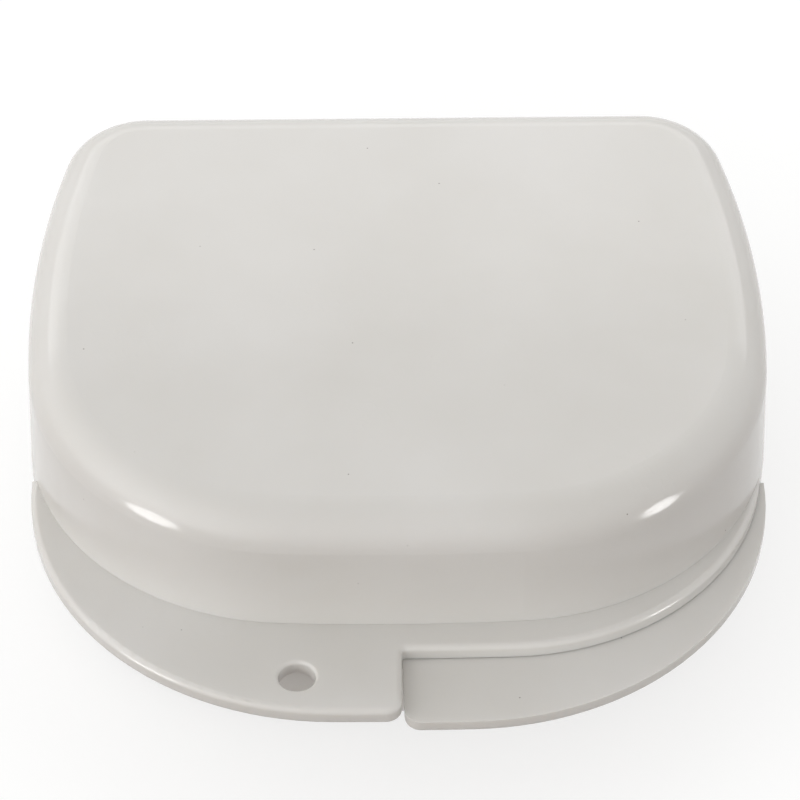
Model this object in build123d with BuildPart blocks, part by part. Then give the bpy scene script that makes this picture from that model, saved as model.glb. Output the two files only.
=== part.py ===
"""Pocket case for a denture: two moulded shells of one pattern that meet on a level parting plane
and turn on two short pin hinges at the back. Millimetres, +Z up, the front towards -Y.

The pattern is drawn in its own frame: the parting plane is XY and +Z points out to the shell's
flat face. The lid stands on that frame as drawn. The base is the pattern turned half a turn about
Y, so its thumb lip, rim and hinge ears come out on the other hand, and its edge is rounder.
"""

import os
from math import asin, atan2, degrees, sqrt

from build123d import *

os.makedirs("parts", exist_ok=True)

# Body plan, a D with a straight back. Y = 0 is where the case is widest.
body_half_width = 38.5
body_back = 31.5
body_front = 33.4
side_radius = 106.0
back_corner_radius = 9.3
front_corner_radius = 27.5
front_radius = 244.0

# Height of one shell, its wall and the finish of its edges
shell_height = 15.3
wall = 1.6
floor_thickness = 1.6
draft_angle = 1.7
lid_edge_radius = 4.2
base_edge_radius = 6.0
parting_gap = 0.1

# Flange round the front: a narrow ledge on one half and the thumb lip on the other. Depths are
# taken from the body's front, and side insets from its widest point.
flange_thickness = 1.6
flange_edge_radius = 0.6
flange_front_radius = 480.0
ledge_depth = 3.2
ledge_side_inset = 0.9
ledge_corner_radius = 27.0
lip_depth = 11.6
lip_side_inset = 0.6
lip_corner_radius = 31.4
lip_tip_y = -12.3
lip_end_radius = 1.65
lip_root_radius = 0.4

# Slit between the two lips, which opens towards the front
slit_at_root = 0.04
slit_at_front = 0.3

# Hole through the lid's lip, for a name tag or a cord
tag_hole_radius = 1.85
tag_hole_edge_radius = 0.35
tag_hole_from_middle = 10.45
tag_hole_from_edge = 4.8

# Lap rim that keeps the shells in line, on one half of each shell
rim_inset = 0.8
rim_height = 1.5
rim_root = 1.0
rim_start_x = 1.5
rim_back_margin = 2.2
rim_clearance = 0.1

# Snap bead on the rim, and the groove that takes it
bead_radius = 0.3
bead_proud = 0.2
bead_clearance = 0.1
bead_start_x = 5.0
bead_end_x = 16.0

# Round marks that the ejector pins leave on the floor inside
ejector_mark_radius = 2.5
ejector_mark_depth = 0.12
ejector_mark_spacing_x = 36.0
ejector_mark_spacing_y = 30.0

# Pin hinges at the back, one each side
hinge_x = 17.0
knuckle_radius = 2.3
knuckle_clearance = 0.4
tongue_width = 6.4
ear_width = 3.5
ear_clearance = 0.3
arm_height = 5.0
pin_radius = 0.8
pin_running_clearance = 0.05
pin_press = 0.02
pin_recess = 0.3
pin_chamfer = 0.15

ledge_reach = body_front + ledge_depth
ledge_half_width = body_half_width - ledge_side_inset
lip_reach = body_front + lip_depth
lip_half_width = body_half_width - lip_side_inset
rim_end_y = body_back - back_corner_radius - rim_back_margin
hinge_y = body_back + knuckle_radius + knuckle_clearance
ear_offset = tongue_width / 2 + ear_clearance + ear_width / 2
pin_half_length = tongue_width / 2 + ear_clearance + ear_width - pin_recess
draft_height = shell_height - parting_gap / 2


def front_corner_centre():
    """Centre of the arc that joins the side arc to the front arc, both tangent to it."""
    side_centre = Vector(body_half_width - side_radius, 0)
    front_centre = Vector(0, front_radius - body_front)
    side_reach = side_radius - front_corner_radius
    front_reach = front_radius - front_corner_radius
    span = front_centre - side_centre
    along = (side_reach**2 - front_reach**2 + span.length**2) / (2 * span.length)
    across = sqrt(side_reach**2 - along**2)
    unit = span.normalized()
    return side_centre + unit * along + Vector(unit.Y, -unit.X) * across


def body_plan(inset):
    """The D of the body, drawn inset from its outer wall at the parting plane."""
    side_centre = Vector(body_half_width - side_radius, 0)
    front_centre = Vector(0, front_radius - body_front)
    corner_centre = front_corner_centre()
    back_centre_y = body_back - back_corner_radius
    back_centre_x = side_centre.X + sqrt((side_radius - back_corner_radius) ** 2 - back_centre_y**2)

    corner_from_front = corner_centre - front_centre
    corner_from_side = corner_centre - side_centre
    front_angle = degrees(atan2(corner_from_front.Y, corner_from_front.X))
    side_angle = degrees(atan2(corner_from_side.Y, corner_from_side.X))
    back_angle = degrees(atan2(back_centre_y, back_centre_x - side_centre.X))

    with BuildSketch() as plan:
        with BuildLine():
            CenterArc(front_centre, front_radius - inset, -90, front_angle + 90)
            CenterArc(corner_centre, front_corner_radius - inset, front_angle, side_angle - front_angle)
            CenterArc(side_centre, side_radius - inset, side_angle, back_angle - side_angle)
            CenterArc(
                (back_centre_x, back_centre_y), back_corner_radius - inset, back_angle, 90 - back_angle
            )
            Line((back_centre_x, body_back - inset), (0, body_back - inset))
            mirror(about=Plane.YZ)
        make_face()
    return plan.sketch


def flange_plan(reach, half_width, corner_radius):
    """A front curve of the flange, closed straight across the case at the lip's tips."""
    front_centre_y = flange_front_radius - reach
    corner_x = half_width - corner_radius
    corner_y = front_centre_y - sqrt((flange_front_radius - corner_radius) ** 2 - corner_x**2)
    front_angle = degrees(atan2(corner_y - front_centre_y, corner_x))
    tip_angle = degrees(asin((lip_tip_y - corner_y) / corner_radius))
    with BuildSketch() as plan:
        with BuildLine():
            CenterArc((0, front_centre_y), flange_front_radius, -90, front_angle + 90)
            corner = CenterArc(
                (corner_x, corner_y), corner_radius, front_angle, tip_angle - front_angle
            )
            Line(corner @ 1, (0, lip_tip_y))
            mirror(about=Plane.YZ)
        make_face()
    return plan.sketch


def lip_plan():
    """The thumb lip, which ends at the slit in the middle of the front."""
    with BuildSketch() as plan:
        add(flange_plan(lip_reach, lip_half_width, lip_corner_radius))
        with BuildLine():
            Polyline(
                (-slit_at_root / 2, lip_tip_y),
                (-slit_at_root / 2, -ledge_reach),
                (-slit_at_front / 2, -lip_reach),
                (-slit_at_front / 2, -2 * lip_reach),
                (-2 * lip_half_width, -2 * lip_reach),
                (-2 * lip_half_width, lip_tip_y),
                close=True,
            )
        make_face(mode=Mode.INTERSECT)
        lip_end = plan.vertices().sort_by(Axis.Y)[:2].sort_by(Axis.X)[-1]
        fillet(lip_end, lip_end_radius)
    return plan.sketch


def flange_plate():
    """Ledge and lip as one plate with a rounded outer edge, still solid under the body."""
    with BuildPart() as plate:
        with BuildSketch(Plane.XY.offset(parting_gap / 2)) as outline:
            add(flange_plan(ledge_reach, ledge_half_width, ledge_corner_radius))
            add(lip_plan())
            lip_root = outline.vertices().sort_by_distance((-slit_at_root / 2, -ledge_reach))[0]
            fillet(lip_root, lip_root_radius)
        extrude(amount=flange_thickness - parting_gap / 2)
        fillet(plate.faces().sort_by(Axis.Z)[-1].edges(), flange_edge_radius)
    return plate.part


def drafted_block(inset, height, edge_radius):
    """The body's form at a given inset, drafted and rounded at its outer end."""
    with BuildPart() as block:
        with BuildSketch(Plane.XY.offset(parting_gap / 2)):
            add(body_plan(inset))
        extrude(amount=height, taper=draft_angle)
        fillet(block.faces().sort_by(Axis.Z)[-1].edges(), edge_radius)
    return block.part


def rim_band(outer_inset, inner_inset, start_x, end_y, side):
    """The strip of wall that the lap rim, or the recess for it, takes up on one side."""
    with BuildSketch() as band:
        add(body_plan(outer_inset))
        add(body_plan(inner_inset), mode=Mode.SUBTRACT)
        with Locations((side * start_x, end_y)):
            align_x = Align.MIN if side > 0 else Align.MAX
            Rectangle(
                2 * body_half_width,
                2 * (body_back + body_front),
                align=(align_x, Align.MAX),
                mode=Mode.INTERSECT,
            )
    return band.sketch


def front_bead(radius, height, side):
    """A round bar of that radius, bent along the front of the lap rim on one side."""
    front_centre_y = front_radius - body_front
    rim_bend = front_radius - rim_inset
    margin = radius - bead_radius
    near_angle = side * degrees(asin((bead_start_x - margin) / rim_bend)) - 90
    far_angle = side * degrees(asin((bead_end_x + margin) / rim_bend)) - 90
    start_angle = min(near_angle, far_angle)
    outward = Vector(1, 0, 0).rotate(Axis.Z, start_angle)
    section = Plane(origin=(0, front_centre_y, 0), x_dir=outward, z_dir=outward.cross(Vector(0, 0, 1)))
    with BuildPart() as bead:
        with BuildSketch(section):
            with Locations((rim_bend - bead_radius + bead_proud, height)):
                Circle(radius)
        revolve(
            axis=Axis((0, front_centre_y, 0), (0, 0, 1)), revolution_arc=abs(far_angle - near_angle)
        )
    return bead.part


def hinge_leaf_plan():
    """Side view of one knuckle and the arm that ties it to the back wall."""
    with BuildSketch() as plan:
        with Locations((hinge_y, 0)):
            Circle(knuckle_radius)
        with BuildLine():
            Polyline(
                (body_back - wall / 2, parting_gap / 2),
                (hinge_y, parting_gap / 2),
                (hinge_y, knuckle_radius),
                (body_back - wall / 2, arm_height),
                close=True,
            )
        make_face()
    return plan.sketch


def hinge_leaf(x, width, bore_radius):
    """One knuckle on its arm, bored for the pin."""
    with BuildPart() as leaf:
        with BuildSketch(Plane.YZ.offset(x - width / 2)):
            add(hinge_leaf_plan())
            with Locations((hinge_y, 0)):
                Circle(bore_radius, mode=Mode.SUBTRACT)
        extrude(amount=width)
    return leaf.part


def moulded_half(edge_radius):
    """One shell with its flange, lap rim, snap bead, groove and hinge leaves."""
    rim_depth = rim_height / 2
    with BuildPart() as half:
        add(drafted_block(0, draft_height, edge_radius))
        add(flange_plate())
        add(hinge_leaf(-hinge_x, tongue_width, pin_radius + pin_running_clearance))
        add(hinge_leaf(hinge_x - ear_offset, ear_width, pin_radius - pin_press))
        add(hinge_leaf(hinge_x + ear_offset, ear_width, pin_radius - pin_press))
        add(
            drafted_block(wall, draft_height - floor_thickness, edge_radius - wall),
            mode=Mode.SUBTRACT,
        )
        with BuildSketch(Plane.XY.offset(shell_height - floor_thickness)):
            with GridLocations(ejector_mark_spacing_x, ejector_mark_spacing_y, 2, 2):
                Circle(ejector_mark_radius)
        extrude(amount=ejector_mark_depth, mode=Mode.SUBTRACT)

        with BuildSketch(Plane.XY.offset(parting_gap / 2)):
            add(
                rim_band(
                    rim_inset - rim_clearance,
                    2 * wall,
                    rim_start_x - rim_clearance,
                    rim_end_y + rim_clearance,
                    -1,
                )
            )
        extrude(amount=rim_height + rim_clearance, mode=Mode.SUBTRACT)
        add(front_bead(bead_radius + bead_clearance, rim_depth, -1), mode=Mode.SUBTRACT)

        with BuildSketch(Plane.XY.offset(-rim_height)):
            add(rim_band(rim_inset, wall, rim_start_x, rim_end_y, 1))
        extrude(amount=rim_height + rim_root)
        add(front_bead(bead_radius, -rim_depth, 1))
    return half.part


def hinge_pin(x):
    """A short pin, pressed into the two ears of one hinge and turning in the tongue between them."""
    with BuildPart() as pin:
        with BuildSketch(Plane(origin=(x, hinge_y, shell_height), z_dir=(1, 0, 0))):
            Circle(pin_radius)
        extrude(amount=pin_half_length, both=True)
        chamfer(pin.edges().filter_by(GeomType.CIRCLE), pin_chamfer)
    return pin.part


lid_frame = Plane(origin=(0, 0, shell_height))
base_frame = Plane(origin=(0, 0, shell_height), x_dir=(-1, 0, 0), z_dir=(0, 0, -1))

# Lid: the upper shell, with the tag hole through its lip
with BuildPart(lid_frame) as lid_shell:
    add(moulded_half(lid_edge_radius))
    with BuildSketch(lid_frame):
        with Locations((-tag_hole_from_middle, tag_hole_from_edge - lip_reach)):
            Circle(tag_hole_radius)
    extrude(amount=flange_thickness, mode=Mode.SUBTRACT)
    fillet(lid_shell.edges(Select.LAST).sort_by(Axis.Z)[-1], tag_hole_edge_radius)
lid_shell.part.label = "lid_shell"
export_step(lid_shell.part, "parts/lid_shell.step")

# Base: the same pattern, half a turn about Y, standing on its flat face
with BuildPart(base_frame) as base_shell:
    add(moulded_half(base_edge_radius))
base_shell.part.label = "base_shell"
export_step(base_shell.part, "parts/base_shell.step")

# Pins: the left one sits in the base's ears, the right one in the lid's
with BuildPart() as hinge_pin_left:
    add(hinge_pin(-hinge_x))
hinge_pin_left.part.label = "hinge_pin_left"
export_step(hinge_pin_left.part, "parts/hinge_pin_left.step")

with BuildPart() as hinge_pin_right:
    add(hinge_pin(hinge_x))
hinge_pin_right.part.label = "hinge_pin_right"
export_step(hinge_pin_right.part, "parts/hinge_pin_right.step")
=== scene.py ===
# %% [markdown]
# # A pocket case for a denture
#
# Two equal shells of milky polypropylene meet on a level parting plane and turn on two short steel
# pins at the back. The imported CAD model brings every shell and pin in metres, in its final place,
# so nothing here is moved or resized. This lesson gives them their finish, a camera and a light
# tent.

# %% Load the imported model
import math

import bpy
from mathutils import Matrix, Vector

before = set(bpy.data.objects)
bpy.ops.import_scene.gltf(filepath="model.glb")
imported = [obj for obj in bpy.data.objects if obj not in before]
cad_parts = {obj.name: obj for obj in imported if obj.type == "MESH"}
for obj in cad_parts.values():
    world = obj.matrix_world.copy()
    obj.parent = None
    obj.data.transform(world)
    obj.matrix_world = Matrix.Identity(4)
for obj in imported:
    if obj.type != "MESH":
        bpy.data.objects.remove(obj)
scene = bpy.context.scene
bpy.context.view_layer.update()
print("nodes:", sorted(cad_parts))

# %% [markdown]
# ## Two small tools
#
# Colours are written as sRGB hex, the way a paint chart gives them, and Blender's sockets want
# linear light, so one function turns the one into the other. Every pattern on the case has a real
# size in millimetres. A noise texture wants cells per metre, because the frame is in metres, so a
# second function turns a size into a scale.


# %% Colour and scale helpers
def linear(hex_colour):
    """An sRGB hex colour as the opaque linear RGBA that a socket takes."""
    levels = [int(hex_colour[i : i + 2], 16) / 255 for i in (1, 3, 5)]
    light = [v / 12.92 if v <= 0.04045 else ((v + 0.055) / 1.055) ** 2.4 for v in levels]
    return (*light, 1.0)


def per_metre(size_mm):
    """The texture scale whose pattern repeats about every size_mm."""
    return 1000 / size_mm


print("mid grey in linear light:", [round(v, 3) for v in linear("#808080")])

# %% [markdown]
# ## Building a material out of nodes
#
# A material is a small graph. Rather than clicking nodes together, one function adds a node, sets
# its options and its sockets, and draws a link wherever a socket is given another node's output.
# A second one starts an empty material with its output and its Principled shader.


# %% Node helpers
def add_node(tree, kind, sockets=None, **settings):
    """Adds one node. A socket's value is either a number, a colour or an output to link."""
    node = tree.nodes.new(kind)
    for name, value in settings.items():
        setattr(node, name, value)
    for key, value in (sockets or {}).items():
        if isinstance(value, bpy.types.NodeSocket):
            tree.links.new(value, node.inputs[key])
        else:
            node.inputs[key].default_value = value
    return node


def start_material(name, **principled):
    """A material with one Principled shader, whose plain numbers are set on its own sockets."""
    material = bpy.data.materials.new(name)
    material.use_nodes = True
    tree = material.node_tree
    tree.nodes.clear()
    shader = add_node(tree, "ShaderNodeBsdfPrincipled", principled)
    add_node(tree, "ShaderNodeOutputMaterial", {"Surface": shader.outputs["BSDF"]})
    return material, tree, shader


# %% [markdown]
# ## Moulded polypropylene
#
# The shells are injection-moulded polypropylene with a little white pigment. To the eye that is a
# milky, slightly warm grey-white, glossy from the polished mould, with light that goes a millimetre
# or two into the wall before it comes back: corners glow a little, and the seams between the shells
# never go black. Subsurface scattering gives that. Its index of refraction is 1.49.
#
# The melt, the mould and the pocket leave their own traces, each at its own size. The next cells
# make them one by one, and the last one puts them together.

# %% The polypropylene's own values
polypropylene_ior = 1.49
scatter_colour_reach = (1.0, 0.94, 0.88)
scatter_depth_mm = 1.2
scatter_share = 0.45
print("light goes", scatter_depth_mm, "mm into the polypropylene")

# %% [markdown]
# ## Pigment clouds
#
# Where the melt flowed, the pigment is a little denser or thinner. That gives clouds some 20 mm wide
# between a cool near white and a warm one. They only just show, but without them a wall looks
# painted on.

# %% Pigment clouds
milky_white = "#D9D7D4"
milky_shade = "#CBC8C2"
flow_cloud_mm = 20.0
flow_cloud_detail = 3.0
flow_cloud_grain = 0.45


def pigment_clouds(tree, place):
    """Slow clouds between two near whites, as a colour."""
    flow = add_node(
        tree,
        "ShaderNodeTexNoise",
        {
            "Vector": place,
            "Scale": per_metre(flow_cloud_mm),
            "Detail": flow_cloud_detail,
            "Roughness": flow_cloud_grain,
        },
    )
    clouds = add_node(
        tree,
        "ShaderNodeMix",
        {"Factor": flow.outputs["Fac"], "A": linear(milky_shade), "B": linear(milky_white)},
        data_type="RGBA",
    )
    return clouds.outputs["Result"]


print("milky white in linear light:", [round(v, 3) for v in linear(milky_white)])

# %% [markdown]
# ## Dust specks
#
# A few dark specks of dust are pressed into the skin, 0.2 mm across. A Voronoi texture fills space
# with dots. The thin wall cuts through only some of them, so the specks come out sparse and uneven,
# as dust does.

# %% Dust specks
speck_brown = "#6E665E"
speck_spacing_mm = 3.6
speck_radius_mm = 0.1
speck_core_share = 0.5
speck_strength = 0.8


def dust_specks(tree, place, ground):
    """Small soft dots of brown on a ground colour."""
    dots = add_node(
        tree, "ShaderNodeTexVoronoi", {"Vector": place, "Scale": per_metre(speck_spacing_mm)}
    )
    reach = speck_radius_mm / speck_spacing_mm
    specks = add_node(
        tree,
        "ShaderNodeMapRange",
        {
            "Value": dots.outputs["Distance"],
            "From Min": speck_core_share * reach,
            "From Max": reach,
            "To Min": speck_strength,
            "To Max": 0.0,
        },
    )
    tint = add_node(
        tree,
        "ShaderNodeMix",
        {"Factor": specks.outputs["Result"], "A": ground, "B": linear(speck_brown)},
        data_type="RGBA",
    )
    return tint.outputs["Result"]


print("a speck is", 2 * speck_radius_mm, "mm across")

# %% [markdown]
# ## Hairlines
#
# Keys and cloth leave hairlines some 18 mm long. They are really 0.02 mm wide, and are drawn 0.15 mm
# wide so that they show at all. A hairline is long one way and thin the other two. So the pattern's
# space is turned and then squeezed along one axis, and of the noise drawn in it only the highest
# crests are kept. That leaves straight strokes with soft ends.

# %% One family of hairlines
hairline_length_mm = 18.0
hairline_width_mm = 0.15
hairline_tilt = (0.4, 0.3)
hairline_crest = 0.7
hairline_full_crest = 0.8


def hairlines(tree, place, turn_degrees):
    """Straight fine strokes at an angle to X, as a level from 0 to 1."""
    laid = add_node(
        tree,
        "ShaderNodeMapping",
        {
            "Vector": place,
            "Rotation": (*hairline_tilt, math.radians(turn_degrees)),
            "Scale": (hairline_length_mm / hairline_width_mm, 1.0, 1.0),
        },
        vector_type="TEXTURE",
    )
    crests = add_node(
        tree,
        "ShaderNodeTexNoise",
        {
            "Vector": laid.outputs["Vector"],
            "Scale": per_metre(2 * hairline_width_mm),
            "Detail": 0.0,
        },
    )
    strokes = add_node(
        tree,
        "ShaderNodeMapRange",
        {
            "Value": crests.outputs["Fac"],
            "From Min": hairline_crest,
            "From Max": hairline_full_crest,
        },
    )
    return strokes.outputs["Result"]


print("a hairline is", round(hairline_length_mm / hairline_width_mm), "times as long as wide")

# %% [markdown]
# ## Where the shell was rubbed
#
# One family of strokes would look like brushing, and two that cross look like handling. Nor is a
# case scratched evenly, so a slow noise keeps them to patches some 14 mm wide.

# %% Crossed hairlines in worn patches
first_turn_degrees = 24
second_turn_degrees = -61
worn_patch_mm = 14.0
worn_patch_detail = 2.0
worn_from = 0.5
worn_fully_from = 0.65


def handling_scratches(tree, place):
    """Two families of hairlines, only where the shell was rubbed, as a level from 0 to 1."""
    crossed = add_node(
        tree,
        "ShaderNodeMath",
        {
            0: hairlines(tree, place, first_turn_degrees),
            1: hairlines(tree, place, second_turn_degrees),
        },
        operation="MAXIMUM",
    )
    worn = add_node(
        tree,
        "ShaderNodeTexNoise",
        {"Vector": place, "Scale": per_metre(worn_patch_mm), "Detail": worn_patch_detail},
    )
    worn_here = add_node(
        tree,
        "ShaderNodeMapRange",
        {"Value": worn.outputs["Fac"], "From Min": worn_from, "From Max": worn_fully_from},
    )
    scratches = add_node(
        tree,
        "ShaderNodeMath",
        {0: crossed.outputs["Value"], 1: worn_here.outputs["Result"]},
        operation="MULTIPLY",
    )
    return scratches.outputs["Value"]


print("the two families cross at", first_turn_degrees - second_turn_degrees, "degrees")

# %% [markdown]
# ## Gloss
#
# The wall copies the mould's polish. In clouds about 9 mm wide it shrank off the steel a little
# sooner and came out a shade duller, and it is duller again along the hairlines. In a highlight that
# shows as a soft, uneven edge.

# %% Gloss
polish_roughness = 0.12
cloud_roughness = 0.05
hairline_roughness = 0.1
gloss_cloud_mm = 9.0
gloss_cloud_detail = 4.0
gloss_cloud_grain = 0.55
gloss_cloud_low = 0.3
gloss_cloud_high = 0.7


def mould_polish(tree, place, scratches):
    """The roughness of the polished skin, clouded and scratched."""
    gloss = add_node(
        tree,
        "ShaderNodeTexNoise",
        {
            "Vector": place,
            "Scale": per_metre(gloss_cloud_mm),
            "Detail": gloss_cloud_detail,
            "Roughness": gloss_cloud_grain,
        },
    )
    clouded = add_node(
        tree,
        "ShaderNodeMapRange",
        {
            "Value": gloss.outputs["Fac"],
            "From Min": gloss_cloud_low,
            "From Max": gloss_cloud_high,
            "To Min": polish_roughness,
            "To Max": polish_roughness + cloud_roughness,
        },
    )
    roughness = add_node(
        tree,
        "ShaderNodeMath",
        {0: scratches, 1: hairline_roughness, 2: clouded.outputs["Result"]},
        operation="MULTIPLY_ADD",
    )
    return roughness.outputs["Value"]


print("roughness from", polish_roughness, "to", round(polish_roughness + cloud_roughness, 2))

# %% [markdown]
# ## Skin
#
# The skin has a fine orange peel, about 1.2 mm wide and too low to see except in a highlight, and
# the hairlines are cut into it. Both are bumps: they only tilt the light, and the shape stays.

# %% Skin
orange_peel_mm = 1.2
orange_peel_detail = 2.0
orange_peel_strength = 0.04
orange_peel_height_mm = 0.2
hairline_strength = 0.06
hairline_depth_mm = 0.1


def moulded_skin(tree, place, scratches):
    """The normal of the skin, with orange peel under the hairlines."""
    peel = add_node(
        tree,
        "ShaderNodeTexNoise",
        {"Vector": place, "Scale": per_metre(orange_peel_mm), "Detail": orange_peel_detail},
    )
    peel_bump = add_node(
        tree,
        "ShaderNodeBump",
        {
            "Height": peel.outputs["Fac"],
            "Strength": orange_peel_strength,
            "Distance": orange_peel_height_mm / 1000,
        },
    )
    hairline_bump = add_node(
        tree,
        "ShaderNodeBump",
        {
            "Height": scratches,
            "Strength": hairline_strength,
            "Distance": hairline_depth_mm / 1000,
            "Normal": peel_bump.outputs["Normal"],
        },
        invert=True,
    )
    return hairline_bump.outputs["Normal"]


print("orange peel:", orange_peel_mm, "mm wide")

# %% [markdown]
# ## Putting the polypropylene together
#
# The two shells are one plastic from one mould, but no cloud or scratch on them is the same. So the
# material is made twice, and a seed moves all its patterns to another place in space.

# %% The polypropylene itself
seed_direction = (1.0, 0.37, 0.61)


def moulded_polypropylene(name, seed):
    """Milky polypropylene from a polished mould. The seed shifts the patterns from part to part."""
    material, tree, shader = start_material(
        name,
        **{
            "IOR": polypropylene_ior,
            "Subsurface Weight": scatter_share,
            "Subsurface Radius": scatter_colour_reach,
            "Subsurface Scale": scatter_depth_mm / 1000,
        },
    )
    here = add_node(tree, "ShaderNodeTexCoord").outputs["Object"]
    shift = tuple(seed * share for share in seed_direction)
    shifted = add_node(tree, "ShaderNodeVectorMath", {0: here, 1: shift}, operation="ADD")
    place = shifted.outputs["Vector"]
    scratches = handling_scratches(tree, place)
    looks = {
        "Base Color": dust_specks(tree, place, pigment_clouds(tree, place)),
        "Roughness": mould_polish(tree, place, scratches),
        "Normal": moulded_skin(tree, place, scratches),
    }
    for socket, source in looks.items():
        tree.links.new(source, shader.inputs[socket])
    return material


lid_plastic = moulded_polypropylene("moulded_polypropylene_lid", 0.0)
base_plastic = moulded_polypropylene("moulded_polypropylene_base", 3.0)
print("polypropylene nodes:", len(lid_plastic.node_tree.nodes))

# %% [markdown]
# ## Drawn stainless wire
#
# Each hinge pin is a length of drawn stainless wire, a cool grey metal with a soft sheen. Drawing
# leaves fine lines along its length, so across the wire the gloss changes quickly and along it hardly
# at all. A noise stretched along X, the pin's own direction, gives that. The lines are really about
# 0.02 mm apart, and are drawn 0.08 mm apart so that they show. A metal keeps the default index of
# refraction, and only its colour and roughness matter.

# %% The wire
steel_grey = "#C9C8C6"
steel_dull = "#A5A3A0"
drawing_line_mm = 0.08
drawing_line_detail = 3.0
drawing_stretch = 0.03
drawing_strength = 0.15
drawing_depth_mm = 0.02
wire_roughness = 0.22
wire_roughness_spread = 0.16


def drawn_stainless_wire(name):
    """Stainless wire with drawing lines that run along X."""
    material, tree, shader = start_material(name, Metallic=1.0)
    place = add_node(tree, "ShaderNodeTexCoord").outputs["Object"]
    stretched = add_node(
        tree, "ShaderNodeMapping", {"Vector": place, "Scale": (drawing_stretch, 1.0, 1.0)}
    )
    lines = add_node(
        tree,
        "ShaderNodeTexNoise",
        {
            "Vector": stretched.outputs["Vector"],
            "Scale": per_metre(drawing_line_mm),
            "Detail": drawing_line_detail,
        },
    ).outputs["Fac"]
    tint = add_node(
        tree,
        "ShaderNodeMix",
        {"Factor": lines, "A": linear(steel_dull), "B": linear(steel_grey)},
        data_type="RGBA",
    )
    roughness = add_node(
        tree,
        "ShaderNodeMath",
        {0: lines, 1: wire_roughness_spread, 2: wire_roughness},
        operation="MULTIPLY_ADD",
    )
    bump = add_node(
        tree,
        "ShaderNodeBump",
        {"Height": lines, "Strength": drawing_strength, "Distance": drawing_depth_mm / 1000},
    )
    tree.links.new(tint.outputs["Result"], shader.inputs["Base Color"])
    tree.links.new(roughness.outputs["Value"], shader.inputs["Roughness"])
    tree.links.new(bump.outputs["Normal"], shader.inputs["Normal"])
    return material


wire = drawn_stainless_wire("drawn_stainless_wire")
print("wire nodes:", len(wire.node_tree.nodes))

# %% [markdown]
# ## Dressing the nodes
#
# The shapes are right as the CAD gives them, so each node keeps its mesh and gets a material in its
# own slot.

# %% Materials onto the CAD nodes
finish_of = {
    "lid_shell": lid_plastic,
    "base_shell": base_plastic,
    "hinge_pin_left": wire,
    "hinge_pin_right": wire,
}
for node_name, finish in finish_of.items():
    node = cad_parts[node_name]
    node.data.materials.clear()
    node.data.materials.append(finish)
    print(node_name, "wears", finish.name)

# %% [markdown]
# ## The table
#
# A white table top, wide enough to fill the picture from any side. Most of its white is its own
# glow, so the case's soft shadow shows on it but stays light. What a matt white table throws back
# up would flatten the walls, so for diffuse rays alone the table is a warm dark grey without a glow.
# The camera, gloss and glass all see it white.

# %% Table top
floor_radius = 3.0
floor_corners = 96


def disc(name, radius, corners):
    """A flat disc on the ground, facing up."""
    turns = [2 * math.pi * i / corners for i in range(corners)]
    rim = [(radius * math.cos(turn), radius * math.sin(turn), 0) for turn in turns]
    mesh = bpy.data.meshes.new(name)
    mesh.from_pydata(rim, [], [list(range(corners))])
    thing = bpy.data.objects.new(name, mesh)
    scene.collection.objects.link(thing)
    return thing


floor = disc("table_top", floor_radius, floor_corners)
print("table top:", 2 * floor_radius, "m across")

# %% [markdown]
# ## The table's white
#
# Light Path tells what kind of ray has arrived. Camera, glossy and transmission rays add up to one
# switch: with it on, the table is lit grey plus glow, which makes white in the open and a pale grey
# in the shadow, and with it off it is the dark bounce grey.

# %% The table's white
floor_glow = 0.7
floor_lit_grey = "#9C9C9B"
floor_bounce_grey = "#6C5A4E"
floor_roughness = 0.6


def matt_white_table(name):
    """A matt white with a glow of its own, dark and without a glow for diffuse rays."""
    material, tree, shader = start_material(
        name, **{"Roughness": floor_roughness, "Specular IOR Level": 0.0}
    )
    path = add_node(tree, "ShaderNodeLightPath")
    camera_or_gloss = add_node(
        tree,
        "ShaderNodeMath",
        {0: path.outputs["Is Camera Ray"], 1: path.outputs["Is Glossy Ray"]},
        operation="ADD",
    )
    seen_white = add_node(
        tree,
        "ShaderNodeMath",
        {0: camera_or_gloss.outputs["Value"], 1: path.outputs["Is Transmission Ray"]},
        operation="ADD",
        use_clamp=True,
    ).outputs["Value"]
    tint = add_node(
        tree,
        "ShaderNodeMix",
        {"Factor": seen_white, "A": linear(floor_bounce_grey), "B": linear(floor_lit_grey)},
        data_type="RGBA",
    )
    glow = add_node(tree, "ShaderNodeMath", {0: seen_white, 1: floor_glow}, operation="MULTIPLY")
    tree.links.new(tint.outputs["Result"], shader.inputs["Base Color"])
    tree.links.new(glow.outputs["Value"], shader.inputs["Emission Strength"])
    return material


floor.data.materials.append(matt_white_table("matt_white_table"))
print("the table glows at", floor_glow, "of white")

# %% [markdown]
# ## Light tent
#
# Glossy white things are photographed in a light tent, because a bare lamp would show as a hard
# patch on every rounded edge. The world plays the tent. Its cloth is lit from outside in a few
# places, and each place is a wide soft glow that fades with the angle from its middle. A level of
# 1 all round would show every colour as it is written. Here the glow at the left front is by far the
# strongest and the one straight in front is weak, which models the rounded walls.

# %% Directions and glows
glow_sharpness = 6
# Azimuth and elevation of each glow's middle in degrees, and its strength
tent_glows = {
    "upper_left_front": (240, 45, 0.14),
    "upper_left_back": (300, 45, 0.12),
    "back": (0, 10, 0.94),
    "right_back": (45, 10, 0.68),
    "right": (90, 10, 0.62),
    "right_front": (135, 10, 0.68),
    "front": (180, 0, 0.38),
    "left_front": (230, 10, 1.98),
    "left": (270, 10, 0.45),
    "left_back": (315, 10, 0.62),
}


def towards(azimuth, elevation):
    """The direction at an azimuth, from +Y towards +X, and at a height above the table, in degrees."""
    turn, rise = math.radians(azimuth), math.radians(elevation)
    return Vector(
        (math.sin(turn) * math.cos(rise), math.cos(turn) * math.cos(rise), math.sin(rise))
    )


print("glows on the tent:", ", ".join(tent_glows))

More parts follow.
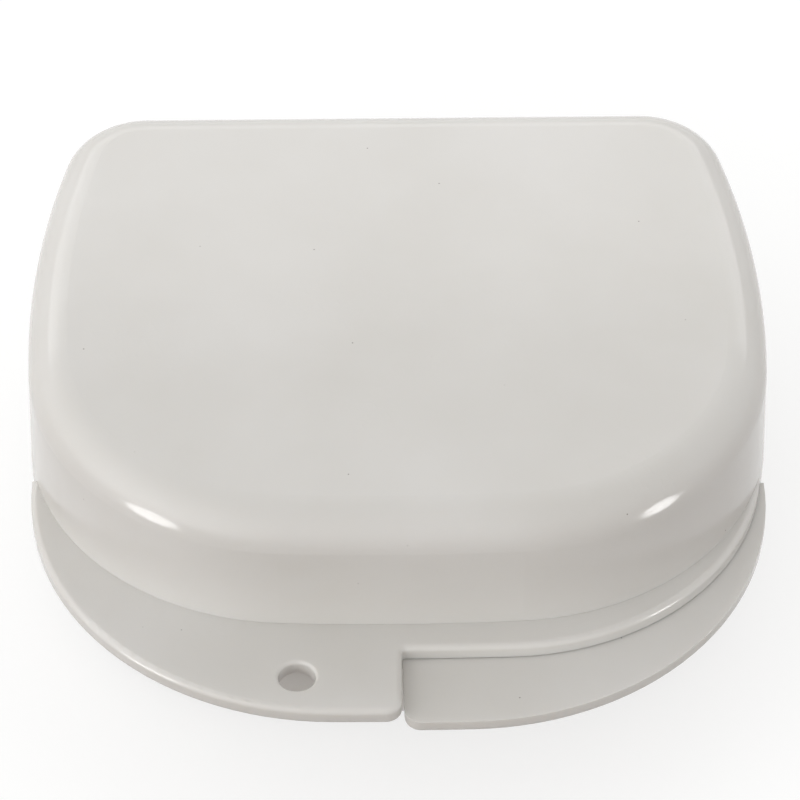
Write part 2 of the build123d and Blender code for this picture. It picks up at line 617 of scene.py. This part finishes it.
# %% [markdown]
# ## The tent as a world
#
# The dot product of a ray's direction with a glow's direction is 1 in the glow's middle and -1
# opposite to it. Halved and lifted it runs from 1 to 0, and a power narrows it to a soft round glow.
# The world adds up all the glows into one level.


# %% World
def light_tent():
    """A world that adds up the glows on the tent's cloth."""
    world = bpy.data.worlds.new("light_tent")
    world.use_nodes = True
    tree = world.node_tree
    tree.nodes.clear()
    direction = add_node(tree, "ShaderNodeTexCoord").outputs["Generated"]
    level = 0.0
    for azimuth, elevation, strength in tent_glows.values():
        facing = add_node(
            tree,
            "ShaderNodeVectorMath",
            {0: direction, 1: towards(azimuth, elevation)},
            operation="DOT_PRODUCT",
        )
        nearness = add_node(
            tree,
            "ShaderNodeMath",
            {0: facing.outputs["Value"], 1: 0.5, 2: 0.5},
            operation="MULTIPLY_ADD",
        )
        glow = add_node(
            tree,
            "ShaderNodeMath",
            {0: nearness.outputs["Value"], 1: glow_sharpness},
            operation="POWER",
        )
        level = add_node(
            tree,
            "ShaderNodeMath",
            {0: glow.outputs["Value"], 1: strength, 2: level},
            operation="MULTIPLY_ADD",
        ).outputs["Value"]
    background = add_node(
        tree, "ShaderNodeBackground", {"Color": linear("#FFFFFF"), "Strength": level}
    )
    add_node(tree, "ShaderNodeOutputWorld", {"Surface": background.outputs["Background"]})
    return world


scene.world = light_tent()
print("world nodes:", len(scene.world.node_tree.nodes))

# %% [markdown]
# ## Gloss cards
#
# The long highlights on the front corners and along the lips come from two small bright cards that
# stand on the table, left and right of the front. A third, dim and wide, stands behind, and its
# reflection fades over the flat top from back to front. All are near the case and out of the
# picture. Only glossy rays see them, so they draw the highlights and leave the tone of the walls to
# the tent. The two bright ones are no taller than the case, or the flat top would mirror them as a
# white glare from a low viewpoint.


# %% Gloss cards
def gloss_card(name, azimuth, distance, aside, height, width, tall, radiance):
    """A glowing card that stands upright and faces the case, in metres and degrees."""
    lamp = bpy.data.lights.new(name, "AREA")
    lamp.shape = "ELLIPSE"
    lamp.size = width
    lamp.size_y = tall
    lamp.energy = radiance * math.pi * width * tall
    outward = towards(azimuth, 0)
    sideways = towards(azimuth + 90, 0)
    card = bpy.data.objects.new(name, lamp)
    card.location = distance * outward + aside * sideways + Vector((0, 0, height))
    card.rotation_euler = outward.to_track_quat("Z", "Y").to_euler()
    card.visible_camera = False
    card.visible_diffuse = False
    scene.collection.objects.link(card)
    return card


gloss_card(
    "gloss_card_left",
    azimuth=-122,
    distance=0.1,
    aside=-0.0145,
    height=0.0152,
    width=0.03,
    tall=0.03,
    radiance=6.2,
)
gloss_card(
    "gloss_card_right",
    azimuth=119,
    distance=0.1,
    aside=0.0125,
    height=0.0152,
    width=0.022,
    tall=0.03,
    radiance=7.5,
)
gloss_card(
    "gloss_card_back",
    azimuth=0,
    distance=0.2,
    aside=0.0,
    height=0.16,
    width=0.5,
    tall=0.11,
    radiance=1.2,
)

# %% [markdown]
# ## Camera
#
# A long lens half a metre away, as far above the case as in front of it, keeps its sides nearly
# parallel. The aim point is near the middle of the parting plane.

# %% Camera
aim = Vector((0.0, 0.0005, 0.0153))
camera_distance = 0.4592
camera_elevation = 43.99
camera_azimuth = 180.81
focal_length = 195.4
sensor_width = 36.0
sideways_shift = 0.0039
upward_shift = 0.0005

lens = bpy.data.cameras.new("long_lens")
lens.sensor_width = sensor_width
lens.lens = focal_length
lens.shift_x = sideways_shift
lens.shift_y = upward_shift
camera = bpy.data.objects.new("camera", lens)
backwards = towards(camera_azimuth, camera_elevation)
camera.location = aim + camera_distance * backwards
camera.rotation_euler = backwards.to_track_quat("Z", "Y").to_euler()
scene.collection.objects.link(camera)
scene.camera = camera
scene.view_settings.view_transform = "Standard"
print("camera stands at", [round(value, 3) for value in camera.location])
